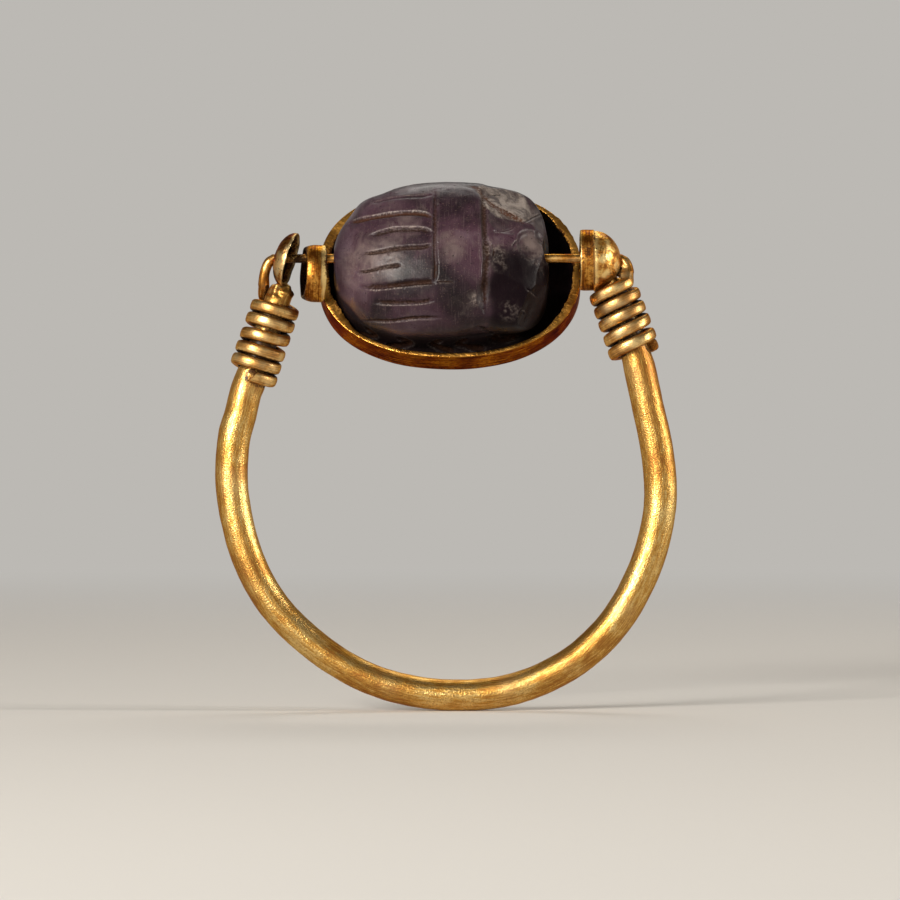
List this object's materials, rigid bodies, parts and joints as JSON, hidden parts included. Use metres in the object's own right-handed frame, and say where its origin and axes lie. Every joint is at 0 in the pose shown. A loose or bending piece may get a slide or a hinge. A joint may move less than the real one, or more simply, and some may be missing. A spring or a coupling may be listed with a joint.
{
  "type": "scarab swivel ring",
  "caption": "Gold finger ring whose carved amethyst scarab, in a low gold band, swivels on a wire that is wound round both shoulders of the hoop.",
  "frame": {"origin": "middle of the whole ring's box at rest, which lies inside the finger opening, in the middle between its sides", "axes": "+Z from the bottom of the hoop up to the bezel, +X along the pivot wire towards the scarab's head, -Y out of the face of the hoop that the scarab's back is turned to at rest"},
  "size_m": [0.026, 0.0091, 0.0297],
  "materials": {
    "rod_gold": "hammered and burnished gold rod with fine lengthwise scratches",
    "wire_gold": "drawn gold wire with brown soil between its turns",
    "cup_gold": "dished gold sheet, mottled by solder",
    "band_gold": "bent gold strip with a bright burnished rim and brown soil",
    "collar_gold": "rolled gold sheet with fine upright scratches",
    "amethyst": "carved and polished dark amethyst with brown soil in its grooves"
  },
  "bodies": {
    "hoop": {"hoop_shank": "rod_gold", "left_cup_terminal": "cup_gold", "right_cup_terminal": "cup_gold", "pivot_wire": "wire_gold"},
    "bezel": {"bezel_band": "band_gold", "left_collar": "collar_gold", "right_collar": "collar_gold", "scarab_stone": "amethyst"}
  },
  "joints": [
    {"name": "bezel_swivel", "type": "hinge", "parent": "hoop", "child": "bezel", "pos_m": [0, -0.00095, 0.01059], "axis": [1, 0, 0], "continuous": true}
  ]
}
